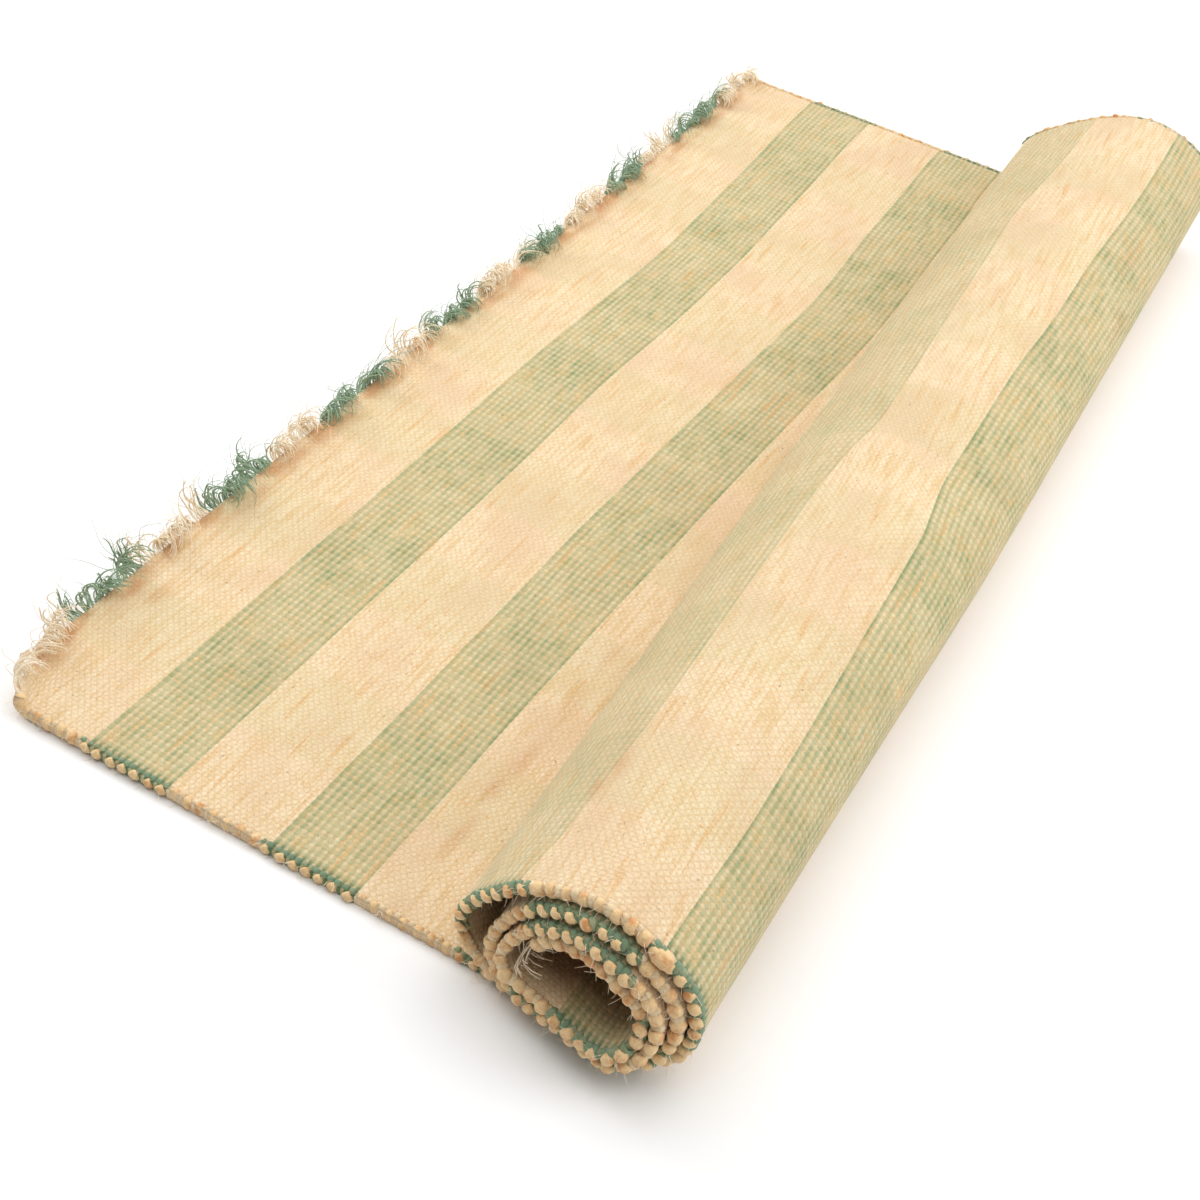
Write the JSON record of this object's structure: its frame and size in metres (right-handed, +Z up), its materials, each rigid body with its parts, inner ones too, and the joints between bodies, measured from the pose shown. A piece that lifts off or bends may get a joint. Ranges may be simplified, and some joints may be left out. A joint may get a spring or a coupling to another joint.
{
  "type": "jute rug",
  "caption": "Striped flat-woven jute rug, partly unrolled: the fringed end lies flat and the rest is wound into a loose, slightly flattened roll.",
  "frame": {"origin": "on the floor, under the middle of the flat stretch of the rug, at mid width", "axes": "+X from the fringed edge towards the roll, along the warp; +Y across the rug from the near selvage to the far one; +Z up from the floor"},
  "size_m": [0.5975, 1.2333, 0.1239],
  "materials": {
    "jute_cloth": "matt handwoven jute, natural straw and sage green stripes",
    "fringe_green": "matt sage green warp yarn",
    "fringe_natural": "matt undyed warp yarn"
  },
  "bodies": {
    "root": {"rug_cloth": "jute_cloth", "fringe_natural_1": "fringe_natural", "fringe_green_1": "fringe_green", "fringe_natural_2": "fringe_natural", "fringe_green_2": "fringe_green", "fringe_natural_3": "fringe_natural", "fringe_green_3": "fringe_green", "fringe_natural_4": "fringe_natural", "fringe_green_4": "fringe_green", "fringe_natural_5": "fringe_natural", "fringe_green_5": "fringe_green", "fringe_natural_6": "fringe_natural", "fringe_green_6": "fringe_green", "fringe_natural_7": "fringe_natural", "fringe_green_7": "fringe_green", "fringe_natural_8": "fringe_natural", "fringe_inner": "fringe_natural"}
  },
  "joints": []
}
